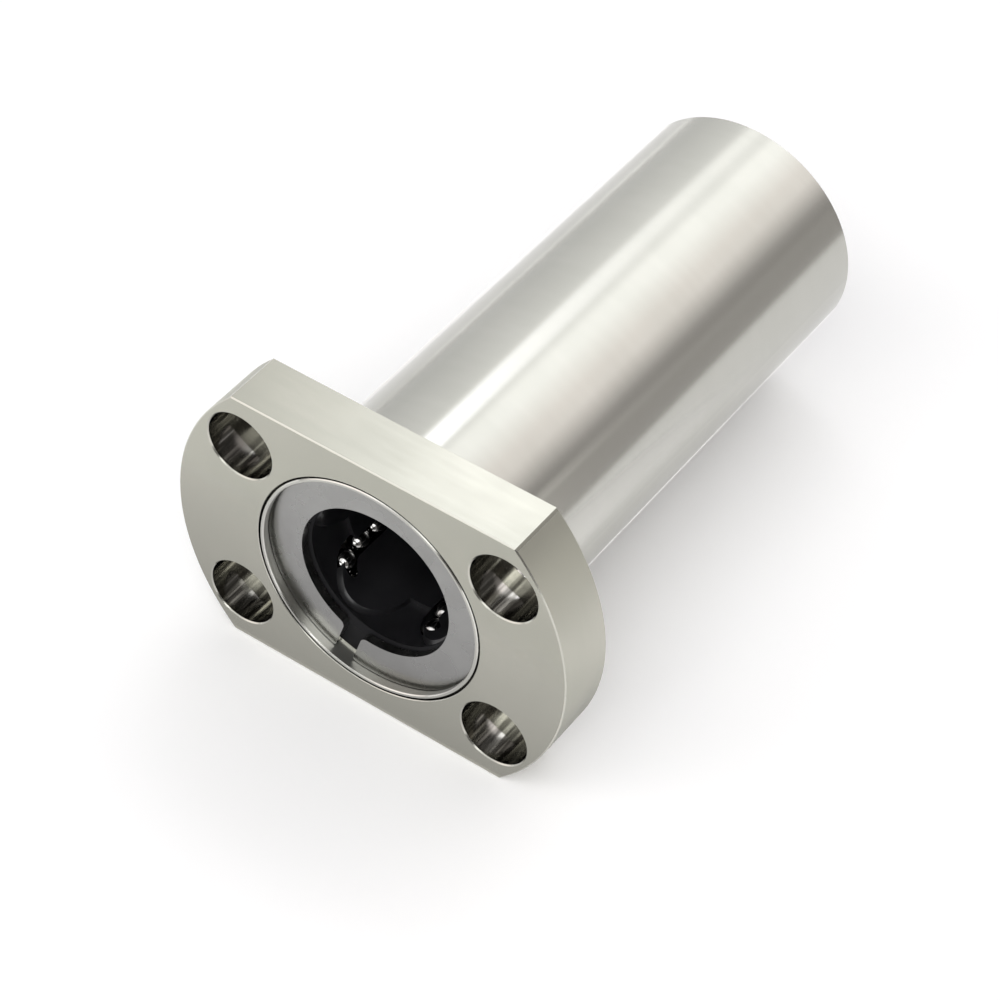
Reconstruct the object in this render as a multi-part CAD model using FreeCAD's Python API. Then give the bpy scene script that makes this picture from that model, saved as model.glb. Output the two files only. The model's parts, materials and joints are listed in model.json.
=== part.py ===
# Flanged linear ball bearing of the long type, for a 20 mm shaft.
#
# A hardened outer cylinder carries a flange with two flats and four counterbored
# screw holes. Inside it lie two identical ball retainers, back to back, each with
# five closed ball circuits. A seal and a C-shaped retaining ring shut each end.
#
# Frame, in millimetres: the origin is on the bore axis, at the flange's seat face.
# +Y runs along the bore, from the flange to the plain end. +X is the flange's long
# direction and +Z is normal to its two flats.
import FreeCAD, Part
import math
import os

V = FreeCAD.Vector

# ---- Driving dimensions ----

# The shaft that the bearing runs on, and the balls between it and the cylinder
shaft_d = 20.0
ball_d = 3.175
ball_gap = 0.075            # between neighbouring balls of a train
raceway_clearance = 0.025   # radial, between loaded balls and the cylinder
channel_clearance = 0.10    # radial, between a ball and the channel around it
circuit_count = 5
turn_balls = 2              # balls in each half-round turn

# Outer cylinder
overall_len = 80.0
raceway_wall = 2.8          # steel outside the raceways, which sets the outer size
spigot_step = 0.5           # radial step down to the spigot that the flange sits on
tail_chamfer = 0.6
rim_chamfer = 0.12          # at the edges of the end faces, apart from the tail's
joint_gap = 0.25            # radial, between the cylinder's rim and the flange
joint_gap_depth = 0.6
relief_clearance = 0.20     # radial room outside the balls in their turns
recess_step = 0.5           # radial seat for the retainer's head, outside the relief
groove_start = 0.85         # of the retaining ring's groove, from the end face
groove_depth = 0.35

# Flange
flange_d = 54.0
flange_flats = 38.0
flange_t = 8.0
flange_chamfer = 0.15
seat_bore_chamfer = 0.08
seat_recess_depth = 0.15    # in the seat face, round the outer cylinder
seat_recess_gap = 0.15      # radial, outside the outer cylinder
bolt_edge = 9.0             # from a hole's centre to the flange's round end, along X
bolt_spacing_z = 24.0
bolt_hole_d = 5.5
head_bore_d = 9.0
head_bore_depth = 5.1
hole_chamfer = 0.15

# Retaining ring, from the end face inwards
ring_depth = 1.45
ring_t = 1.10
ring_play = 0.05            # axial, behind the ring in its groove
ring_bore_clearance = 0.30  # radial, from the shaft
ring_groove_clearance = 0.10
ring_gap = 2.6
ring_gap_angle = -106.0     # degrees from +X towards +Z
ring_inner_round = 0.9
ring_outer_round = 0.4

# Seal
seal_t = 1.05
seal_lip_clearance = 0.03   # radial, from the shaft
seal_lip_t = 0.2
seal_lip_reach = 0.85       # radial length of the tapered lip
seal_fit = 0.10             # radial, in the recess

# Ball retainer
retainer_bore_clearance = 0.20   # radial, from the shaft
retainer_fit = 0.10              # radial, in the cylinder
retainer_play = 0.10             # axial, from the middle of the bearing
retainer_head_t = 1.4
mouth_step = 0.70                # radial, out to the wider mouth of the bore
mouth_len = 6.3
pad_r = 5.4                      # half-round pad inside the mouth, over each turn
pad_flank = 0.8                  # spread of the pad's edge for each millimetre outwards
pad_angle = 22.5                 # degrees from the circuit's loaded row
outer_wall = 1.75                # from the head's face to the turn's channel
inner_wall = 0.40                # least wall past the inner turn's channel

# ---- Dimensions that follow ----

shaft_r = shaft_d / 2
ball_r = ball_d / 2
pitch = ball_d + ball_gap
channel_r = ball_r + channel_clearance

# Each circuit is flat: two straight rows joined by half-round turns, in the plane
# that touches the circle of loaded balls. The return row so lies further out.
load_r = shaft_r + ball_r
turn_angle = 180.0 / turn_balls
turn_r = pitch / (2 * math.sin(math.radians(turn_angle / 2)))
row_spacing = 2 * turn_r
return_r = math.hypot(load_r, row_spacing)

raceway_r = shaft_r + ball_d + raceway_clearance
body_r = raceway_r + raceway_wall
spigot_r = body_r - spigot_step
rim_r = spigot_r - joint_gap
spigot_len = flange_t - seat_recess_depth
bolt_spacing_x = flange_d - 2 * bolt_edge
relief_r = return_r + ball_r + relief_clearance
recess_r = relief_r + recess_step
groove_r = recess_r + groove_depth

# Distances along the bore, counted from the end face that the flange surrounds
middle = overall_len / 2
groove_end = ring_depth + ring_t + ring_play
seal_start = ring_depth + ring_t
retainer_start = seal_start + seal_t
retainer_end = middle - retainer_play
shoulder = retainer_start + retainer_head_t
land_start = retainer_start + outer_wall + channel_r + turn_r
row_room = retainer_end - inner_wall - channel_r - turn_r - land_start
row_balls = int(row_room / pitch)
land_end = land_start + row_balls * pitch

circuit_angle = 360.0 / circuit_count
bore_r = shaft_r + retainer_bore_clearance
mouth_r = bore_r + mouth_step
mouth_end = retainer_start + mouth_len


def at(depth):
    """The Y coordinate of a distance counted from the front end face."""
    return depth - flange_t


def turned(profile):
    """Solid of revolution about the bore axis from (radius, depth) corners."""
    corners = [V(radius, at(depth), 0) for radius, depth in profile]
    face = Part.Face(Part.makePolygon(corners + corners[:1]))
    return face.revolve(V(0, 0, 0), V(0, 1, 0), 360)


def mirrored_profile(half):
    """The same (radius, depth) corners seen from the other end, in reverse order."""
    return [(radius, overall_len - depth) for radius, depth in reversed(half)]


def around(shape, index):
    """Copy of a shape turned about the bore axis to one of the circuits."""
    copy = shape.copy()
    copy.rotate(V(0, 0, 0), V(0, -1, 0), index * circuit_angle)
    return copy


def end_for_end(shape):
    """Copy of a shape of the front half, turned over into the rear half."""
    copy = shape.copy()
    copy.rotate(V(0, at(middle), 0), V(1, 0, 0), 180)
    return copy


def make_flange():
    disc = Part.makeCylinder(flange_d / 2, flange_t, V(0, at(0), 0), V(0, 1, 0))
    corner = V(-flange_d, at(0) - flange_t, -flange_flats / 2)
    between_flats = Part.makeBox(2 * flange_d, 3 * flange_t, flange_flats, corner)
    blank = disc.common(between_flats).removeSplitter()
    outline = [edge for edge in blank.Edges if edge.BoundBox.YLength < 0.01]
    blank = blank.makeChamfer(flange_chamfer, outline)

    overcut = 1.0
    flare = spigot_r + seat_bore_chamfer + overcut
    seat_bore = turned([
        (0, -overcut),
        (flare, -overcut),
        (spigot_r, seat_bore_chamfer),
        (spigot_r, spigot_len),
        (body_r + seat_recess_gap, spigot_len),
        (body_r + seat_recess_gap, flange_t + overcut),
        (0, flange_t + overcut),
    ])
    screw_hole = turned([
        (0, -overcut),
        (head_bore_d / 2 + hole_chamfer + overcut, -overcut),
        (head_bore_d / 2, hole_chamfer),
        (head_bore_d / 2, head_bore_depth),
        (bolt_hole_d / 2, head_bore_depth),
        (bolt_hole_d / 2, flange_t - hole_chamfer),
        (bolt_hole_d / 2 + hole_chamfer + overcut, flange_t + overcut),
        (0, flange_t + overcut),
    ])
    cuts = [seat_bore]
    for side_x in (-1, 1):
        for side_z in (-1, 1):
            hole = screw_hole.copy()
            hole.translate(V(side_x * bolt_spacing_x / 2, 0, side_z * bolt_spacing_z / 2))
            cuts.append(hole)
    return blank.cut(cuts)


def make_outer_cylinder():
    half_bore = [
        (recess_r + rim_chamfer, 0),
        (recess_r, rim_chamfer),
        (recess_r, groove_start),
        (groove_r, groove_start),
        (groove_r, groove_end),
        (recess_r, groove_end),
        (recess_r, shoulder),
        (relief_r, shoulder),
        (relief_r, land_start),
        (raceway_r, land_start),
        (raceway_r, land_end),
        (relief_r, land_end),
    ]
    outside = [
        (body_r - tail_chamfer, overall_len),
        (body_r, overall_len - tail_chamfer),
        (body_r, spigot_len),
        (spigot_r, spigot_len),
        (spigot_r, joint_gap_depth),
        (rim_r, joint_gap_depth - joint_gap),
        (rim_r, rim_chamfer),
        (rim_r - rim_chamfer, 0),
    ]
    sleeve = turned(half_bore + mirrored_profile(half_bore) + outside)

    # Scallops along the raceways give the unloaded return rows their room
    start = V(load_r, at(shoulder), row_spacing)
    scallop = Part.makeCylinder(channel_r, middle - shoulder, start, V(0, 1, 0))
    front = [around(scallop, index) for index in range(circuit_count)]
    rear = [end_for_end(cut) for cut in front]
    return sleeve.cut(front + rear)


def make_retaining_ring():
    inner = shaft_r + ring_bore_clearance
    outer = groove_r - ring_groove_clearance
    washer = turned([
        (inner, ring_depth),
        (outer, ring_depth),
        (outer, ring_depth + ring_t),
        (inner, ring_depth + ring_t),
    ])
    slot = Part.makeBox(outer, 3 * ring_t, ring_gap, V(inner / 2, at(ring_depth) - ring_t, -ring_gap / 2))
    ring = washer.cut(slot)

    def end_edges(radius):
        """The two short edges of the ring's ends that stand at this radius."""
        found = []
        for edge in ring.Edges:
            middle_point = edge.CenterOfMass
            on_radius = abs(math.hypot(middle_point.x, middle_point.z) - radius) < 0.01
            along_bore = abs(edge.BoundBox.YLength - ring_t) < 0.01
            at_gap = abs(abs(middle_point.z) - ring_gap / 2) < 0.01
            if on_radius and along_bore and at_gap:
                found.append(edge)
        return found

    ring = ring.makeFillet(ring_inner_round, end_edges(inner))
    ring = ring.makeFillet(ring_outer_round, end_edges(outer))
    ring.rotate(V(0, 0, 0), V(0, -1, 0), ring_gap_angle)
    return ring


def make_seal():
    lip_r = shaft_r + seal_lip_clearance
    root_r = lip_r + seal_lip_reach
    lip_front = seal_start + (seal_t - seal_lip_t) / 2
    outer = recess_r - seal_fit
    return turned([
        (root_r, seal_start),
        (outer, seal_start),
        (outer, seal_start + seal_t),
        (root_r, seal_start + seal_t),
        (lip_r, lip_front + seal_lip_t),
        (lip_r, lip_front),
    ])


def make_channel():
    """The space of one ball circuit, round below and open outwards."""
    top = body_r
    first = at(land_start)

    def section(offset_z):
        near = V(load_r, first, offset_z - channel_r)
        far = V(load_r, first, offset_z + channel_r)
        floor = V(load_r - channel_r, first, offset_z)
        near_top = V(top, first, offset_z - channel_r)
        far_top = V(top, first, offset_z + channel_r)
        edges = [
            Part.Arc(near, floor, far).toShape(),
            Part.makeLine(far, far_top),
            Part.makeLine(far_top, near_top),
            Part.makeLine(near_top, near),
        ]
        return Part.Face(Part.Wire(edges))

    run = V(0, land_end - land_start, 0)
    load_side = section(0).extrude(run)
    return_side = section(row_spacing).extrude(run)
    outer_turn = section(0).revolve(V(load_r, first, turn_r), V(1, 0, 0), -180)
    inner_turn = outer_turn.copy()
    inner_turn.rotate(V(load_r, at((land_start + land_end) / 2), turn_r), V(1, 0, 0), 180)
    return load_side.fuse([return_side, outer_turn, inner_turn]).removeSplitter()


def make_mouth():
    """The wider mouth of the retainer's bore, less the pads over the turns."""
    overcut = 1.0
    mouth = turned([
        (0, retainer_start - overcut),
        (mouth_r, retainer_start - overcut),
        (mouth_r, mouth_end),
        (0, mouth_end),
    ])
    inner = bore_r - pad_r / 2
    outer = mouth_r + overcut
    inner_size = pad_r - (bore_r - inner) * pad_flank
    outer_size = pad_r + (outer - bore_r) * pad_flank
    pad = Part.makeCone(inner_size, outer_size, outer - inner, V(inner, at(mouth_end), 0), V(1, 0, 0))
    pad.rotate(V(0, 0, 0), V(0, -1, 0), pad_angle)
    return mouth.cut([around(pad, index) for index in range(circuit_count)])


def make_retainer():
    head_r = recess_r - retainer_fit
    shank_r = raceway_r - retainer_fit
    collar_r = relief_r - retainer_fit
    blank = turned([
        (bore_r, retainer_start),
        (head_r, retainer_start),
        (head_r, shoulder),
        (collar_r, shoulder),
        (collar_r, land_start - retainer_fit),
        (shank_r, land_start - retainer_fit),
        (shank_r, retainer_end),
        (bore_r, retainer_end),
    ])
    channel = make_channel()
    channels = [around(channel, index) for index in range(circuit_count)]
    return blank.cut([make_mouth()] + channels)


def make_balls(places):
    """Balls at (depth, offset) places of the circuit that lies on +X."""
    balls = [Part.makeSphere(ball_r, V(load_r, at(depth), offset)) for depth, offset in places]
    return Part.makeCompound(balls)


def row_places(offset):
    """A straight row, its end balls half a pitch inside the turns."""
    return [(land_start + (number + 0.5) * pitch, offset) for number in range(row_balls)]


def turn_places(centre_depth, outward):
    """The balls of a turn, outward being -1 towards the front end and 1 away from it."""
    places = []
    for number in range(turn_balls):
        angle = math.radians((number + 0.5) * turn_angle)
        depth = centre_depth + outward * turn_r * math.sin(angle)
        places.append((depth, turn_r * (1 - math.cos(angle))))
    return places


ball_groups = {
    "load_balls": make_balls(row_places(0)),
    "return_balls": make_balls(row_places(row_spacing)),
    "outer_turn_balls": make_balls(turn_places(land_start, -1)),
    "inner_turn_balls": make_balls(turn_places(land_end, 1)),
}

front_pieces = {
    "retaining_ring": make_retaining_ring(),
    "seal": make_seal(),
    "ball_retainer": make_retainer(),
}
for group, balls in ball_groups.items():
    for circuit in range(circuit_count):
        front_pieces[f"{group}_{circuit + 1}"] = around(balls, circuit)

nodes = {"flange": make_flange(), "outer_cylinder": make_outer_cylinder()}
for name, shape in front_pieces.items():
    nodes[f"front_{name}"] = shape
    nodes[f"rear_{name}"] = end_for_end(shape)

os.makedirs("parts", exist_ok=True)
for name, shape in nodes.items():
    shape.exportStep(f"parts/{name}.step")
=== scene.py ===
# Finish, light and camera for a flanged linear ball bearing of the long type.
#
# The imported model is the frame: metres, the origin on the bore axis at the flange's
# seat face, +Y along the bore, +X along the flange and +Z normal to its two flats.
import bpy
import json
import math
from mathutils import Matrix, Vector


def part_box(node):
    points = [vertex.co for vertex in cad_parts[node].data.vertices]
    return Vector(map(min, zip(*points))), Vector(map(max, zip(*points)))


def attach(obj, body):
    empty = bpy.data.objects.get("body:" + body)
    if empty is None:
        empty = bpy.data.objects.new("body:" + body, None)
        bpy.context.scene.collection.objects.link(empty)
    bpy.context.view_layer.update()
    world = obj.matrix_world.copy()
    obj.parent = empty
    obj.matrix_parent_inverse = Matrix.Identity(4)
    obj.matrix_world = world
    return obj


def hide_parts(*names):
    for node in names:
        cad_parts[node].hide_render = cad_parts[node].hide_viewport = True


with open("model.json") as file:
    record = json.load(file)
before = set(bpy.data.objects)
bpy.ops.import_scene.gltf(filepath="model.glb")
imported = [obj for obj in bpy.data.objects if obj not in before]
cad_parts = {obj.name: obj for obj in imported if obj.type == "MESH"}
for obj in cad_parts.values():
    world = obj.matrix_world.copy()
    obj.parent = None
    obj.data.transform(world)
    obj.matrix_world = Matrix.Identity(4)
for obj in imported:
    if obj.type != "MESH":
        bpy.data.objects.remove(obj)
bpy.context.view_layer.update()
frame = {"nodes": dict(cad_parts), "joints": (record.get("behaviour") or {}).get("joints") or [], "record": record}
nodes = frame["nodes"]

MM = 0.001

# ---- Counts of balls, and measures taken from the frame ----

row_balls = 8       # in each straight row
turn_balls = 2      # in each half-round turn
circuits = 5        # in each retainer

row_low, row_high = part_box("front_load_balls_1")
return_low, return_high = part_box("front_return_balls_1")
cylinder_low, cylinder_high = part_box("outer_cylinder")
flange_low, flange_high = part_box("flange")

ball_radius = (row_high.x - row_low.x) / 2
ball_pitch = (row_high.y - row_low.y - 2 * ball_radius) / (row_balls - 1)
first_loaded_ball = Vector(((row_low.x + row_high.x) / 2, row_low.y + ball_radius, 0))
return_offset = Vector((0, 0, (return_low.z + return_high.z) / 2))
middle_y = (cylinder_low.y + cylinder_high.y) / 2
floor_z = min(flange_low.z, cylinder_low.z)
seam_radii = (cylinder_high.x - 0.82 * MM, cylinder_high.x - 0.44 * MM)
screws = next(mount["dims"] for mount in frame["record"]["mounts"] if mount["name"] == "flange_bolts")
hole_x, hole_z = (screws[side] / 2 * MM for side in ("spacing_x_mm", "spacing_y_mm"))
hole_reach = 4.7 * MM      # just past a counterbore's wall, from its hole's centre
edge_width = 0.3 * MM      # of the band that the broken edges of the flats take up


# ---- Node helpers ----

def new_group(name, inputs, outputs):
    """An empty shader group. Sockets are (name, kind, default) and (name, kind)."""
    group = bpy.data.node_groups.new(name, "ShaderNodeTree")
    for label, kind, value in inputs:
        socket = group.interface.new_socket(label, in_out="INPUT", socket_type="NodeSocket" + kind)
        socket.default_value = value
    for label, kind in outputs:
        group.interface.new_socket(label, in_out="OUTPUT", socket_type="NodeSocket" + kind)
    start = group.nodes.new("NodeGroupInput")
    end = group.nodes.new("NodeGroupOutput")
    return group, start, end


def feed(tree, socket, value):
    """Links a socket to another one, or sets its number."""
    if isinstance(value, bpy.types.NodeSocket):
        tree.links.new(value, socket)
    else:
        socket.default_value = value


def math_node(tree, operation, first, second=0.0, clamp=False):
    node = tree.nodes.new("ShaderNodeMath")
    node.operation = operation
    node.use_clamp = clamp
    feed(tree, node.inputs[0], first)
    feed(tree, node.inputs[1], second)
    return node.outputs[0]


def remap(tree, value, from_low, from_high, to_low, to_high):
    node = tree.nodes.new("ShaderNodeMapRange")
    for socket, number in zip(node.inputs, (value, from_low, from_high, to_low, to_high)):
        feed(tree, socket, number)
    return node.outputs[0]


def noise(tree, vector, scale, detail=3.0, roughness=0.55):
    node = tree.nodes.new("ShaderNodeTexNoise")
    feed(tree, node.inputs["Vector"], vector)
    feed(tree, node.inputs["Scale"], scale)
    feed(tree, node.inputs["Detail"], detail)
    feed(tree, node.inputs["Roughness"], roughness)
    return node.outputs["Fac"]


def mix_colours(tree, mask, first, second):
    node = tree.nodes.new("ShaderNodeMix")
    node.data_type = "RGBA"
    feed(tree, node.inputs["Factor"], mask)
    feed(tree, node.inputs["A"], first)
    feed(tree, node.inputs["B"], second)
    return node.outputs["Result"]


def mix_values(tree, share, first, second):
    """A value that goes from the first to the second as the share goes from 0 to 1."""
    kept = math_node(tree, "MULTIPLY", first, math_node(tree, "SUBTRACT", 1.0, share))
    return math_node(tree, "ADD", kept, math_node(tree, "MULTIPLY", second, share))


def between(tree, value, low, high):
    """1 where a value lies between two others, and 0 elsewhere."""
    above = math_node(tree, "GREATER_THAN", value, low)
    return math_node(tree, "MULTIPLY", above, math_node(tree, "LESS_THAN", value, high))


def split(tree, vector):
    node = tree.nodes.new("ShaderNodeSeparateXYZ")
    feed(tree, node.inputs[0], vector)
    return node.outputs


def join_vector(tree, x, y, z):
    node = tree.nodes.new("ShaderNodeCombineXYZ")
    for socket, value in zip(node.inputs, (x, y, z)):
        feed(tree, socket, value)
    return node.outputs[0]


def vector_math(tree, operation, first, second):
    node = tree.nodes.new("ShaderNodeVectorMath")
    node.operation = operation
    feed(tree, node.inputs[0], first)
    feed(tree, node.inputs["Scale"] if operation == "SCALE" else node.inputs[1], second)
    return node.outputs["Vector"]


def use_group(tree, group, **values):
    """Places a group. Keyword names are its inputs, with _ for a space."""
    node = tree.nodes.new("ShaderNodeGroup")
    node.node_tree = group
    for label, value in values.items():
        feed(tree, node.inputs[label.replace("_", " ")], value)
    return node.outputs


# ---- Effects that the finishes share ----

def make_tool_marks():
    """Fine lines left by turning, boring and grinding round the bore axis.

    On end faces they are rings about the axis, and on walls they run round the part.
    """
    group, start, end = new_group(
        "tool marks",
        [("Position", "Vector", (0, 0, 0)), ("Normal", "Vector", (0, 1, 0)),
         ("Spacing", "Float", 0.4 * MM), ("Breakup", "Float", 9 * MM)],
        [("Height", "Float"), ("Tone", "Float"), ("Radius", "Float"), ("Wall", "Float")])
    place = split(group, start.outputs["Position"])
    facing = split(group, start.outputs["Normal"])
    across = math_node(group, "POWER", place["X"], 2.0)
    up = math_node(group, "POWER", place["Z"], 2.0)
    radius = math_node(group, "SQRT", math_node(group, "ADD", across, up))
    endwise = math_node(group, "ABSOLUTE", facing["Y"])
    on_face = math_node(group, "GREATER_THAN", endwise, 0.8)
    along_wall = math_node(group, "MULTIPLY", place["Y"], math_node(group, "SUBTRACT", 1.0, on_face))
    along_face = math_node(group, "MULTIPLY", radius, on_face)
    step = math_node(group, "ADD", along_wall, along_face)
    line = math_node(group, "DIVIDE", step, start.outputs["Spacing"])
    drift_x = math_node(group, "DIVIDE", place["X"], start.outputs["Breakup"])
    drift_z = math_node(group, "DIVIDE", place["Z"], start.outputs["Breakup"])
    lines = noise(group, join_vector(group, drift_x, line, drift_z), 1.0, 1.0, 0.5)
    wide_line = math_node(group, "MULTIPLY", line, 0.2)
    broad = noise(group, join_vector(group, drift_x, wide_line, drift_z), 1.0, 1.0)
    group.links.new(lines, end.inputs["Height"])
    feed(group, end.inputs["Tone"], remap(group, math_node(group, "ADD", lines, broad), 0.7, 1.3, 0.0, 1.0))
    feed(group, end.inputs["Radius"], radius)
    feed(group, end.inputs["Wall"], math_node(group, "LESS_THAN", endwise, 0.3))
    return group


def make_handling_film():
    """Broad, soft clouding: oil film, wipe marks and slight unevenness of the finish."""
    group, start, end = new_group(
        "handling film",
        [("Position", "Vector", (0, 0, 0)), ("Patch", "Float", 14 * MM)],
        [("Cloud", "Float"), ("Speck", "Float")])
    scaled = group.nodes.new("ShaderNodeVectorMath")
    scaled.operation = "DIVIDE"
    patch = join_vector(group, start.outputs["Patch"], start.outputs["Patch"], start.outputs["Patch"])
    feed(group, scaled.inputs[0], start.outputs["Position"])
    feed(group, scaled.inputs[1], patch)
    cloud = noise(group, scaled.outputs[0], 1.0, 3.0, 0.5)
    speck = noise(group, scaled.outputs[0], 22.0, 2.0, 0.5)
    feed(group, end.inputs["Cloud"], remap(group, cloud, 0.3, 0.7, 0.0, 1.0))
    feed(group, end.inputs["Speck"], remap(group, speck, 0.62, 0.78, 0.0, 1.0))
    return group


def make_broken_edges():
    """Mask of the chamfers, which face neither along the bore nor across it. The finishes paint a highlight there.
    """
    group, start, end = new_group(
        "broken edges", [("Normal", "Vector", (0, 1, 0))], [("Mask", "Float")])
    endwise = math_node(group, "ABSOLUTE", split(group, start.outputs["Normal"])["Y"])
    nearer = math_node(group, "MINIMUM", endwise, math_node(group, "SUBTRACT", 1.0, endwise))
    feed(group, end.inputs["Mask"], remap(group, nearer, 0.04, 0.2, 0.0, 1.0))
    return group


def make_moulded_skin():
    """Grain of moulded resin and rubber."""
    group, start, end = new_group(
        "moulded skin",
        [("Position", "Vector", (0, 0, 0)), ("Grain", "Float", 0.12 * MM)],
        [("Height", "Float"), ("Cloud", "Float")])
    fine = math_node(group, "DIVIDE", 1.0, start.outputs["Grain"])
    grain = noise(group, start.outputs["Position"], fine, 2.0, 0.6)
    cloud = noise(group, start.outputs["Position"], math_node(group, "MULTIPLY", fine, 0.02), 3.0, 0.5)
    group.links.new(grain, end.inputs["Height"])
    feed(group, end.inputs["Cloud"], remap(group, cloud, 0.3, 0.7, 0.0, 1.0))
    return group


tool_marks = make_tool_marks()
handling_film = make_handling_film()
broken_edges = make_broken_edges()
moulded_skin = make_moulded_skin()


# ---- Finishes ----

def new_finish(name, metallic, **plain):
    """A material with its surface shader, and the numbers that are the same all over."""
    material = bpy.data.materials.new(name)
    material.use_nodes = True
    tree = material.node_tree
    surface = tree.nodes["Principled BSDF"]
    surface.inputs["Metallic"].default_value = metallic
    for label, value in plain.items():
        surface.inputs[label.replace("_", " ")].default_value = value
    place = tree.nodes.new("ShaderNodeTexCoord")
    return material, tree, surface, place.outputs


def bump(tree, surface, height, distance):
    node = tree.nodes.new("ShaderNodeBump")
    node.inputs["Strength"].default_value = 1.0
    node.inputs["Distance"].default_value = distance
    feed(tree, node.inputs["Height"], height)
    tree.links.new(node.outputs["Normal"], surface.inputs["Normal"])


def machined_steel(name, colours, edge_highlight_colour, roughness, turned, mark_depth, drilled=False, **plain):
    """Bare steel cut to size: tool marks, faint clouding and a painted highlight on the broken edges.

    The marks run round the bore and the holes, so light spreads across them: along
    the walls, and outwards from the bore on end faces. Turned walls have a finish of
    their own: their least and greatest distance from the bore axis, and its
    roughness. The seam between flange and cylinder is painted near black: painted
    shade in the gap. Drilled steel has screw holes, whose walls are painted dark,
    as painted shade, with painted reflection streaks along their depth.
    """
    material, tree, surface, place = new_finish(name, 1.0, **plain)
    across_marks = vector_math(tree, "ADD", place["Object"], (0, 1, 0))
    feed(tree, surface.inputs["Tangent"], across_marks)
    marks = use_group(tree, tool_marks, Position=place["Object"], Normal=place["Normal"], Spacing=1.1 * MM)
    film = use_group(tree, handling_film, Position=place["Object"])
    edges = use_group(tree, broken_edges, Normal=place["Normal"])
    # Painted shade: the walls of the seam between flange and cylinder.
    seam = math_node(tree, "MULTIPLY", marks["Wall"], between(tree, marks["Radius"], *seam_radii))

    dull, bright = colours
    tone = math_node(tree, "MULTIPLY", marks["Tone"], 0.3)
    shade = math_node(tree, "ADD", math_node(tree, "MULTIPLY", film["Cloud"], 0.7), tone)
    body = mix_colours(tree, shade, dull, bright)
    # Painted highlight: the broken edges take a brighter colour than the body.
    body_with_painted_light = mix_colours(tree, edges["Mask"], body, edge_highlight_colour)

    least, greatest, turned_roughness = turned
    low, high = roughness
    ground = remap(tree, shade, 0.0, 1.0, high, low)
    height = split(tree, place["Object"])["Z"]
    off_flats = between(tree, height, flange_low.z + edge_width, flange_high.z - edge_width)
    round_wall = math_node(tree, "MULTIPLY", marks["Wall"], off_flats)
    on_turned = math_node(tree, "MULTIPLY", round_wall, between(tree, marks["Radius"], least, greatest))
    finish = mix_values(tree, on_turned, ground, turned_roughness)
    if drilled:
        in_hole, streaks = painted_hole_shade_and_streaks(tree, place["Object"], marks["Wall"])
        # Painted shade in the screw holes: dark walls with lighter painted reflection streaks.
        wall = mix_colours(tree, streaks, (0.135, 0.13, 0.12, 1), (0.54, 0.53, 0.50, 1))
        body_with_painted_light = mix_colours(tree, in_hole, body_with_painted_light, wall)
        finish = mix_values(tree, in_hole, finish, 0.11)
    # The seam is painted near black, as painted shade in the gap.
    feed(tree, surface.inputs["Base Color"], mix_colours(tree, seam, body_with_painted_light, (0.02, 0.02, 0.018, 1)))
    feed(tree, surface.inputs["Roughness"], finish)
    bump(tree, surface, marks["Height"], mark_depth)
    return material


def painted_hole_shade_and_streaks(tree, position, wall):
    """Where the walls of the screw holes are, and painted reflection streaks along their depth."""
    place = split(tree, position)
    across = math_node(tree, "SUBTRACT", math_node(tree, "ABSOLUTE", place["X"]), hole_x)
    up = math_node(tree, "SUBTRACT", math_node(tree, "ABSOLUTE", place["Z"]), hole_z)
    turn = math_node(tree, "ARCTAN2", up, across)
    far = math_node(tree, "SQRT", math_node(
        tree, "ADD", math_node(tree, "MULTIPLY", across, across), math_node(tree, "MULTIPLY", up, up)))
    in_hole = math_node(tree, "MULTIPLY", wall, math_node(tree, "LESS_THAN", far, hole_reach))
    along = math_node(tree, "MULTIPLY", place["Y"], 12.0)
    vector = join_vector(tree, math_node(tree, "COSINE", turn), along, math_node(tree, "SINE", turn))
    streak = noise(tree, vector, 3.2, detail=2.0)
    return in_hole, remap(tree, streak, 0.50, 0.60, 0.0, 1.0)


def polished_ball_steel():
    """Lapped bearing balls with a trace of oil, painted darker as painted shade deep in the bore."""
    material, tree, surface, place = new_finish("polished ball steel", 1.0)
    film = use_group(tree, handling_film, Position=place["Object"], Patch=1.6 * MM)
    # Painted shade: the colour is darker than bare ball steel, which dims the glints.
    feed(tree, surface.inputs["Base Color"], mix_colours(
        tree, film["Cloud"], (0.36, 0.355, 0.345, 1), (0.44, 0.435, 0.425, 1)))
    feed(tree, surface.inputs["Roughness"], remap(tree, film["Cloud"], 0.0, 1.0, 0.05, 0.12))
    bump(tree, surface, film["Speck"], 0.0004 * MM)
    return material


def black_resin():
    """Moulded retainer resin, satin and slightly oily."""
    material, tree, surface, place = new_finish("black resin", 0.0, Coat_Weight=0.35, Coat_Roughness=0.14)
    skin = use_group(tree, moulded_skin, Position=place["Object"])
    feed(tree, surface.inputs["Base Color"], mix_colours(
        tree, skin["Cloud"], (0.007, 0.007, 0.008, 1), (0.014, 0.014, 0.016, 1)))
    feed(tree, surface.inputs["Roughness"], remap(tree, skin["Cloud"], 0.0, 1.0, 0.30, 0.42))
    bump(tree, surface, skin["Height"], 0.002 * MM)
    return material


def black_rubber():
    """Moulded seal rubber, matt with a fine grain."""
    material, tree, surface, place = new_finish("black rubber", 0.0, Specular_IOR_Level=0.10)
    skin = use_group(tree, moulded_skin, Position=place["Object"], Grain=0.2 * MM)
    feed(tree, surface.inputs["Base Color"], mix_colours(
        tree, skin["Cloud"], (0.010, 0.010, 0.011, 1), (0.018, 0.018, 0.019, 1)))
    feed(tree, surface.inputs["Roughness"], remap(tree, skin["Cloud"], 0.0, 1.0, 0.5, 0.65))
    bump(tree, surface, skin["Height"], 0.006 * MM)
    return material


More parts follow.
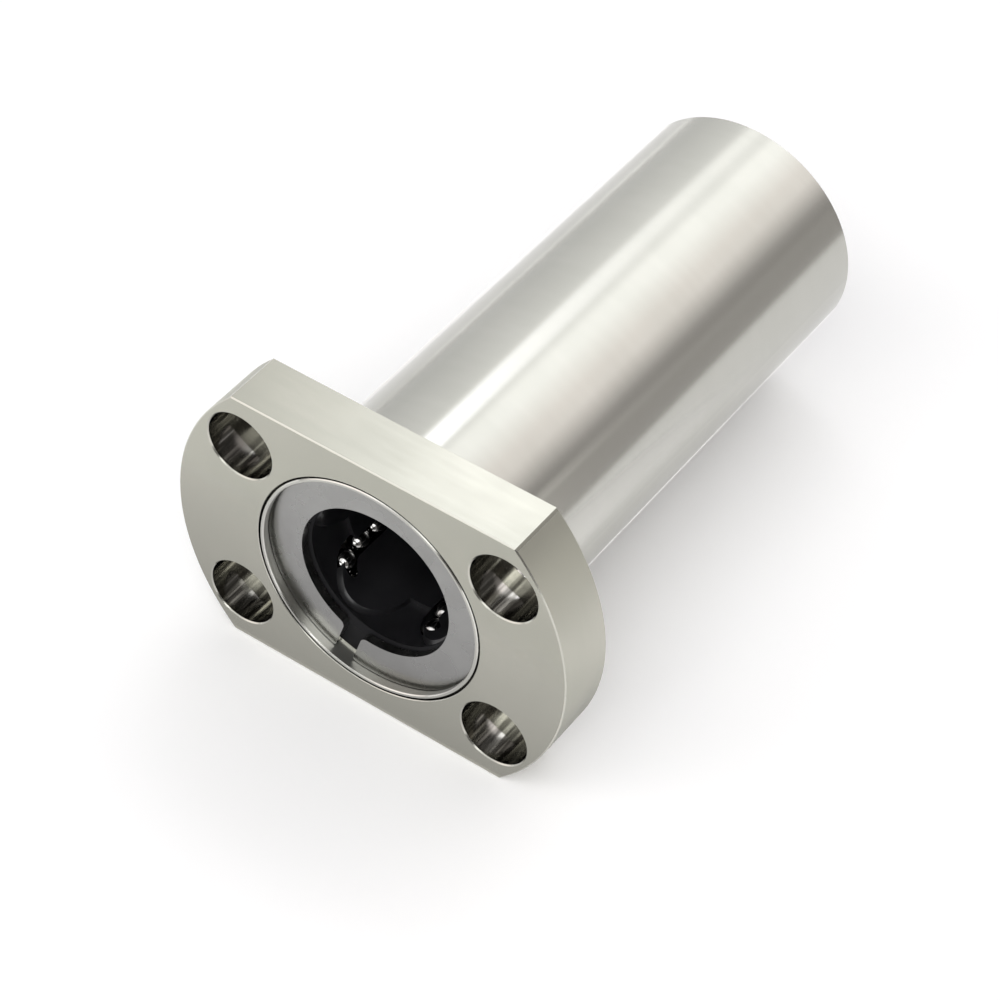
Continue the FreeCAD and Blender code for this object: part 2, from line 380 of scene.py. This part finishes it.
def stamped_spring_steel():
    """The retaining rings: blanked, tumbled and grey, with a painted highlight on their broken edges."""
    material, tree, surface, place = new_finish("stamped spring steel", 1.0)
    film = use_group(tree, handling_film, Position=place["Object"], Patch=5 * MM)
    edges = use_group(tree, broken_edges, Normal=place["Normal"])
    body = mix_colours(tree, film["Cloud"], (0.31, 0.31, 0.30, 1), (0.35, 0.35, 0.34, 1))
    # Painted highlight: the broken edges take a lighter grey.
    feed(tree, surface.inputs["Base Color"], mix_colours(tree, edges["Mask"], body, (0.5, 0.5, 0.49, 1)))
    feed(tree, surface.inputs["Roughness"], remap(tree, film["Cloud"], 0.0, 1.0, 0.25, 0.30))
    return material


flange_steel = machined_steel(
    "ground flange steel", ((0.425, 0.425, 0.368, 1), (0.458, 0.453, 0.395, 1)), (0.56, 0.555, 0.50, 1),
    roughness=(0.20, 0.26), turned=(flange_high.x - 0.5 * MM, flange_high.x + MM, 0.42),
    mark_depth=0.0005 * MM, drilled=True, Anisotropic=0.55)
cylinder_steel = machined_steel(
    "centreless ground steel", ((0.485, 0.485, 0.447, 1), (0.515, 0.512, 0.475, 1)), (0.66, 0.655, 0.61, 1),
    roughness=(0.15, 0.19), turned=(0, seam_radii[0], 0.28),
    mark_depth=0.0002 * MM, Anisotropic=0.8)
ring_steel = stamped_spring_steel()
resin = black_resin()
rubber = black_rubber()
ball_steel = polished_ball_steel()

finishes = {
    "flange": flange_steel,
    "outer_cylinder": cylinder_steel,
    "front_retaining_ring": ring_steel,
    "rear_retaining_ring": ring_steel,
    "front_seal": rubber,
    "rear_seal": rubber,
    "front_ball_retainer": resin,
    "rear_ball_retainer": resin,
}
for node_name, finish in finishes.items():
    for slot in nodes[node_name].material_slots:
        slot.material = finish


# ---- Balls ----

def new_tree(name, inputs):
    """An empty geometry tree. Sockets are (name, kind)."""
    tree = bpy.data.node_groups.new(name, "GeometryNodeTree")
    for label, kind in inputs:
        tree.interface.new_socket(label, in_out="INPUT", socket_type="NodeSocket" + kind)
    tree.interface.new_socket("Geometry", in_out="OUTPUT", socket_type="NodeSocketGeometry")
    start = tree.nodes.new("NodeGroupInput").outputs
    end = tree.nodes.new("NodeGroupOutput").inputs["Geometry"]
    return tree, start, end


def place_node(tree, kind, **values):
    """Adds a node. Keyword names are its inputs, with _ for a space."""
    node = tree.nodes.new(kind)
    for label, value in values.items():
        feed(tree, node.inputs[label.replace("_", " ")], value)
    return node


def finish_tree(tree, geometry, material, end):
    """Ends a tree: real meshes, smooth, with their material."""
    real = place_node(tree, "GeometryNodeRealizeInstances", Geometry=geometry)
    smooth = place_node(tree, "GeometryNodeSetShadeSmooth", Geometry=real.outputs[0])
    finish = place_node(tree, "GeometryNodeSetMaterial", Geometry=smooth.outputs[0], Material=material)
    tree.links.new(finish.outputs[0], end)


def make_row_tree():
    """Straight ball rows: one row, turned round the bore, and the same end for end."""
    tree, start, end = new_tree("straight ball rows", [
        ("Ball Radius", "Float"), ("Detail", "Int"), ("Balls", "Int"), ("Pitch", "Float"),
        ("First Ball", "Vector"), ("Circuits", "Int"), ("Middle", "Float"), ("Finish", "Material")])
    ball = place_node(
        tree, "GeometryNodeMeshIcoSphere", Radius=start["Ball Radius"], Subdivisions=start["Detail"])
    step = join_vector(tree, 0.0, start["Pitch"], 0.0)
    line = place_node(
        tree, "GeometryNodeMeshLine", Count=start["Balls"], Start_Location=start["First Ball"], Offset=step)
    row = place_node(
        tree, "GeometryNodeInstanceOnPoints", Points=line.outputs[0], Instance=ball.outputs["Mesh"])
    row = place_node(tree, "GeometryNodeRealizeInstances", Geometry=row.outputs[0])
    centre = place_node(tree, "GeometryNodeMeshLine", Count=start["Circuits"], Offset=(0, 0, 0))
    index = tree.nodes.new("GeometryNodeInputIndex").outputs[0]
    share = math_node(tree, "DIVIDE", index, start["Circuits"])
    spin = place_node(
        tree, "FunctionNodeEulerToRotation",
        Euler=join_vector(tree, 0.0, math_node(tree, "MULTIPLY", share, -2 * math.pi), 0.0))
    ring = place_node(
        tree, "GeometryNodeInstanceOnPoints", Points=centre.outputs[0], Instance=row.outputs[0],
        Rotation=spin.outputs[0])
    front = place_node(tree, "GeometryNodeRealizeInstances", Geometry=ring.outputs[0])
    over = join_vector(tree, 0.0, math_node(tree, "MULTIPLY", start["Middle"], 2.0), 0.0)
    rear = place_node(
        tree, "GeometryNodeTransform", Geometry=front.outputs[0], Translation=over, Rotation=(math.pi, 0, 0))
    both = tree.nodes.new("GeometryNodeJoinGeometry")
    tree.links.new(front.outputs[0], both.inputs[0])
    tree.links.new(rear.outputs[0], both.inputs[0])
    finish_tree(tree, both.outputs[0], start["Finish"], end)
    return tree


def make_turn_tree():
    """The balls of one half-round turn, evenly spaced about its centre."""
    tree, start, end = new_tree("ball turn", [
        ("Ball Radius", "Float"), ("Detail", "Int"), ("Balls", "Int"), ("Turn Radius", "Float"),
        ("Centre", "Vector"), ("Across", "Vector"), ("Outward", "Vector"), ("Finish", "Material")])
    ball = place_node(
        tree, "GeometryNodeMeshIcoSphere", Radius=start["Ball Radius"], Subdivisions=start["Detail"])
    points = place_node(tree, "GeometryNodeMeshLine", Count=start["Balls"], Offset=(0, 0, 0))
    index = tree.nodes.new("GeometryNodeInputIndex").outputs[0]
    share = math_node(tree, "DIVIDE", math_node(tree, "ADD", index, 0.5), start["Balls"])
    angle = math_node(tree, "MULTIPLY", share, math.pi)
    over = math_node(tree, "MULTIPLY", math_node(tree, "COSINE", angle), start["Turn Radius"])
    out = math_node(tree, "MULTIPLY", math_node(tree, "SINE", angle), start["Turn Radius"])
    arm = vector_math(
        tree, "ADD", vector_math(tree, "SCALE", start["Across"], over),
        vector_math(tree, "SCALE", start["Outward"], out))
    placed = place_node(
        tree, "GeometryNodeSetPosition", Geometry=points.outputs[0],
        Position=vector_math(tree, "ADD", start["Centre"], arm))
    balls = place_node(
        tree, "GeometryNodeInstanceOnPoints", Points=placed.outputs[0], Instance=ball.outputs["Mesh"])
    finish_tree(tree, balls.outputs[0], start["Finish"], end)
    return tree


def grow(name, tree, body, replaced, **values):
    """Makes a plain mesh from a geometry tree, and sets it on its body."""
    seed = bpy.data.objects.new(name + "_seed", bpy.data.meshes.new(name + "_seed"))
    bpy.context.scene.collection.objects.link(seed)
    modifier = seed.modifiers.new("grow", "NODES")
    modifier.node_group = tree
    for item in tree.interface.items_tree:
        if item.item_type == "SOCKET" and item.in_out == "INPUT":
            modifier[item.identifier] = values[item.name.replace(" ", "_")]
    evaluated = seed.evaluated_get(bpy.context.evaluated_depsgraph_get())
    piece = bpy.data.objects.new(name, bpy.data.meshes.new_from_object(evaluated))
    bpy.data.objects.remove(seed)
    bpy.context.scene.collection.objects.link(piece)
    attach(piece, body)
    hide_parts(*replaced)
    return piece


def groups_named(kind):
    """The frame's ball nodes of one kind, in both halves."""
    return [name for name in nodes if f"_{kind}_balls_" in name and "_turn_" not in name]


row_tree = make_row_tree()
turn_tree = make_turn_tree()
row_values = {
    "Ball_Radius": ball_radius, "Balls": row_balls, "Pitch": ball_pitch,
    "Circuits": circuits, "Middle": middle_y, "Finish": ball_steel}
grow("loaded_ball_rows", row_tree, "load_rows", groups_named("load"),
     Detail=3, First_Ball=first_loaded_ball, **row_values)
grow("return_ball_rows", row_tree, "return_rows", groups_named("return"),
     Detail=2, First_Ball=first_loaded_ball + return_offset, **row_values)

for joint in frame["joints"]:
    if joint["type"] != "hinge":
        continue
    body = joint["child"]
    end_name, side, _, number = body.split("_")
    centre = Vector(joint["pos_m"])
    half = 1 if end_name == "front" else -1
    across = Vector(joint["axis"]).cross(Vector((0, half, 0)))
    outward = Vector((0, -half if side == "outer" else half, 0))
    grow(f"{end_name}_{side}_turn_balls_{number}_polished", turn_tree, body,
         [f"{end_name}_{side}_turn_balls_{number}"],
         Ball_Radius=ball_radius, Detail=4, Balls=turn_balls, Turn_Radius=centre.dot(across),
         Centre=centre, Across=across, Outward=outward, Finish=ball_steel)


# ---- Studio ----

tent_radius = 0.5
tent_half_length = 0.75
lamp_gap = 0.01         # from the front card to the lamp that hangs before it
strip_share = 0.98      # of the tent's radius, where the flat strip hangs
card_lift = 0.05 * MM   # of the cards that lie on the floor
card_green = 0.985      # the green in those cards, as a share of their red and blue

# Brightness of the tent, by degrees round the bore axis up from +X. The warmer side
# is on the right.
warm = (1.05, 1.0, 0.985)
plain = (1.0, 1.0, 1.0)
rear_tones = [
    (0, 0.53, warm), (18, 0.43, warm), (26, 0.52, warm), (40, 1.04, warm), (48, 1.33, warm),
    (60, 1.42, warm), (84, 1.90, plain), (95, 1.93, plain), (101, 1.60, plain), (108, 1.60, plain),
    (112, 1.78, plain), (119, 1.78, plain), (124, 1.25, plain), (145, 1.06, plain), (170, 0.87, plain),
    (180, 0.89, plain),
]
front_tones = [
    (0, 0.20, warm), (40, 0.24, warm), (43, 3.6, plain), (72, 3.6, plain), (78, 1.9, plain),
    (102, 2.2, plain), (118, 2.2, plain), (130, 1.6, warm), (180, 1.3, warm),
]
middle_share = 0.38     # of the tent's brightness, right over the part


def link_stage(name, corners, faces, material):
    mesh = bpy.data.meshes.new(name)
    mesh.from_pydata(corners, [], faces)
    mesh.materials.append(material)
    piece = bpy.data.objects.new(name, mesh)
    bpy.context.scene.collection.objects.link(piece)
    return piece


def make_floor():
    """A pale floor, a little whiter to the camera and in reflections than its light makes it.

    Far from the part, where the tent's foot shades it, it turns white.
    """
    material = bpy.data.materials.new("pale floor")
    material.use_nodes = True
    tree = material.node_tree
    surface = tree.nodes["Principled BSDF"]
    surface.inputs["Base Color"].default_value = (0.93, 0.93, 0.935, 1)
    surface.inputs["Roughness"].default_value = 0.9
    surface.inputs["Specular IOR Level"].default_value = 0.0
    surface.inputs["Emission Color"].default_value = (1, 1, 1, 1)
    path = tree.nodes.new("ShaderNodeLightPath")
    seen = math_node(tree, "ADD", path.outputs["Is Camera Ray"], path.outputs["Is Glossy Ray"])
    seen = math_node(tree, "ADD", seen, path.outputs["Is Transmission Ray"], clamp=True)
    distance = tree.nodes.new("ShaderNodeVectorMath")
    distance.operation = "LENGTH"
    feed(tree, distance.inputs[0], tree.nodes.new("ShaderNodeTexCoord").outputs["Object"])
    whiter = remap(tree, distance.outputs["Value"], 0.36, 0.49, 0.10, 1.0)
    feed(tree, surface.inputs["Emission Strength"], math_node(tree, "MULTIPLY", seen, whiter))
    corners = [
        (x * tent_radius, y * tent_half_length, floor_z) for x, y in ((-1, -1), (1, -1), (1, 1), (-1, 1))]
    return link_stage("floor", corners, [(0, 1, 2, 3)], material)


def glowing(name):
    """A stage material that only gives light. Returns it, its tree and its colour socket."""
    material = bpy.data.materials.new(name)
    material.use_nodes = True
    tree = material.node_tree
    tree.nodes.clear()
    glow = tree.nodes.new("ShaderNodeEmission")
    glow.inputs["Strength"].default_value = 1.0
    output = tree.nodes.new("ShaderNodeOutputMaterial")
    tree.links.new(glow.outputs[0], output.inputs["Surface"])
    return material, tree, glow.inputs["Color"]


def ramp_of(tree, value, tones):
    """Colours by degrees, over a value that runs from 0 to 1 for 180 degrees."""
    brightest = max(level for _, level, _ in tones)
    ramp = tree.nodes.new("ShaderNodeValToRGB")
    elements = ramp.color_ramp.elements
    while len(elements) < len(tones):
        elements.new(1.0)
    for element, (degrees, level, tint) in zip(elements, tones):
        element.position = degrees / 180
        element.color = [channel * level / brightest / warm[0] for channel in tint] + [1]
    feed(tree, ramp.inputs[0], value)
    return vector_math(tree, "SCALE", ramp.outputs["Color"], brightest * warm[0])


def make_tent():
    """A long diffusing tent over the part, with the strongest light above its front."""
    material, tree, colour = glowing("diffusing tent")
    place = split(tree, tree.nodes.new("ShaderNodeTexCoord").outputs["Object"])
    angle = math_node(tree, "ARCTAN2", place["Z"], place["X"])
    turned = remap(tree, angle, 0.0, math.pi, 0.0, 1.0)
    share = remap(tree, place["Y"], 0.24, 0.30, middle_share, 1.0)
    rear = vector_math(tree, "SCALE", ramp_of(tree, turned, rear_tones), share)
    fade = remap(tree, place["Y"], -0.62, -0.50, 0.3, 1.0)
    front = vector_math(tree, "SCALE", ramp_of(tree, turned, front_tones), fade)
    behind = remap(tree, place["Y"], -0.24, -0.12, 0.0, 1.0)
    feed(tree, colour, mix_colours(tree, behind, front, rear))

    steps = 60
    lowest = math.asin(floor_z / tent_radius)
    corners = []
    for step in range(steps + 1):
        turn = lowest + (math.pi - 2 * lowest) * step / steps
        for y in (-tent_half_length, tent_half_length):
            corners.append((tent_radius * math.cos(turn), y, tent_radius * math.sin(turn)))
    faces = [(2 * step, 2 * step + 1, 2 * step + 3, 2 * step + 2) for step in range(steps)]
    tent = link_stage("diffusing_tent", corners, faces, material)
    tent.visible_camera = False


def make_card(name, brightness, corners):
    """A flat card of even brightness, out of the camera's sight."""
    material, _, colour = glowing(name)
    colour.default_value = (*brightness, 1)
    card = link_stage(name, corners, [(0, 1, 2, 3)], material)
    card.visible_camera = False
    return card


def make_cards():
    """Cards round the part that it mirrors. Those that stand on the floor don't shade it."""
    low_x, low_top = 0.125, 0.036
    low_card = make_card("low_card", (0.50, 0.48, 0.47), [
        (low_x, y, z) for y, z in ((0.08, floor_z), (0.70, floor_z), (0.70, low_top), (0.08, low_top))])
    arc_card = make_card("arc_card", (1.15, 1.12, 1.09), [
        (0.30, y, z) for y, z in ((-0.10, floor_z), (0.222, floor_z), (0.222, 0.12), (-0.10, 0.12))])
    for card in (low_card, arc_card):
        card.visible_diffuse = False
        card.visible_shadow = False
    width = tent_radius
    make_card("front_card", (0.12, 0.12, 0.115), [
        (x, -tent_half_length, z) for x, z in (
            (-width, floor_z), (width, floor_z), (width, tent_radius), (-width, tent_radius))])
    make_card("front_lamp", (3.2, 3.2, 3.2), [
        (x, lamp_gap - tent_half_length, z) for x, z in (
            (-0.16, 0.14), (0.26, 0.14), (0.26, 0.36), (-0.16, 0.36))])
    reach = strip_share * tent_radius
    low_turn, high_turn = math.radians(103), math.radians(119)
    make_card("flat_strip", (3.6, 3.6, 3.85), [
        (reach * math.cos(turn), y, reach * math.sin(turn)) for turn, y in (
            (low_turn, 0.26), (high_turn, 0.26), (high_turn, 0.352), (low_turn, 0.352))])
    foot_depth = 18
    front = flange_low.y / MM
    # The under, side and left cards are painted reflections of light: in reflections they show the floor brighter
    # than it is lit. The foot and flange-side cards are painted shade: they show the floor by the flange darker
    # than it is lit.
    for name, near_level, far_level, soft, low, high in (
            ("under_card", 2.8, 2.6, 2.0, (0, 5), (12, 100)),
            ("side_card", 1.35, 1.02, 9.0, (28, 10), (130, 74)),
            ("left_card", 1.0, 1.8, 9.0, (-64, -8), (-16, 140)),
            ("foot_card", 1.0, 0.62, 0.5, (-45, front - foot_depth), (27, front)),
            ("flange_side_card", 0.45, 0.55, 1.5, (13, front), (30, 14))):
        make_floor_card(name, low, high, near_level, far_level, soft)


def make_floor_card(name, low, high, near_level, far_level, soft):
    """A card that lies on the floor, given by two corners in millimetres.

    Only reflections show it: it neither lights the floor nor shades it. Its brightness
    goes from the near level to the far one, along the bore, and it fades away over
    the soft width inside its edges.
    """
    material, tree, colour = glowing(name)
    place = split(tree, tree.nodes.new("ShaderNodeTexCoord").outputs["Object"])
    level = remap(tree, place["Y"], low[1] * MM, high[1] * MM, near_level, far_level)
    feed(tree, colour, join_vector(tree, level, math_node(tree, "MULTIPLY", level, card_green), level))
    glow = tree.nodes["Emission"]
    clear = tree.nodes.new("ShaderNodeBsdfTransparent")
    path = tree.nodes.new("ShaderNodeLightPath")
    shown = tree.nodes.new("ShaderNodeMixShader")
    mask = math_node(tree, "LESS_THAN", path.outputs["Diffuse Depth"], 0.5)
    for axis, start, end in (("X", low[0], high[0]), ("Y", low[1], high[1])):
        for edge, inward in ((start, soft), (end, -soft)):
            rise = remap(tree, place[axis], edge * MM, (edge + inward) * MM, 0.0, 1.0)
            mask = math_node(tree, "MULTIPLY", mask, rise)
    feed(tree, shown.inputs[0], mask)
    tree.links.new(clear.outputs[0], shown.inputs[1])
    tree.links.new(glow.outputs[0], shown.inputs[2])
    tree.links.new(shown.outputs[0], tree.nodes["Material Output"].inputs["Surface"])
    card = link_stage(name, [
        (x * MM, y * MM, floor_z + card_lift) for x, y in (
            low, (high[0], low[1]), high, (low[0], high[1]))], [(0, 1, 2, 3)], material)
    card.visible_camera = False
    card.visible_diffuse = False
    card.visible_shadow = False


def make_world():
    world = bpy.data.worlds.new("white surroundings")
    world.use_nodes = True
    background = world.node_tree.nodes["Background"]
    background.inputs["Color"].default_value = (1, 1, 1, 1)
    background.inputs["Strength"].default_value = 1.0
    bpy.context.scene.world = world


def make_camera():
    """A long lens, looking down on the flange from the front and a little to the right."""
    data = bpy.data.cameras.new("camera")
    data.sensor_width = 36.0
    data.lens = 114.45
    data.clip_start = 0.01
    camera = bpy.data.objects.new("camera", data)
    camera.location = (141.91 * MM, -205.88 * MM, 262.54 * MM)
    camera.rotation_euler = [math.radians(turn) for turn in (44.528, -2.595, 34.919)]
    bpy.context.scene.collection.objects.link(camera)
    bpy.context.scene.camera = camera


make_floor()
make_tent()
make_cards()
make_world()
make_camera()
bpy.context.scene.view_settings.view_transform = "Standard"
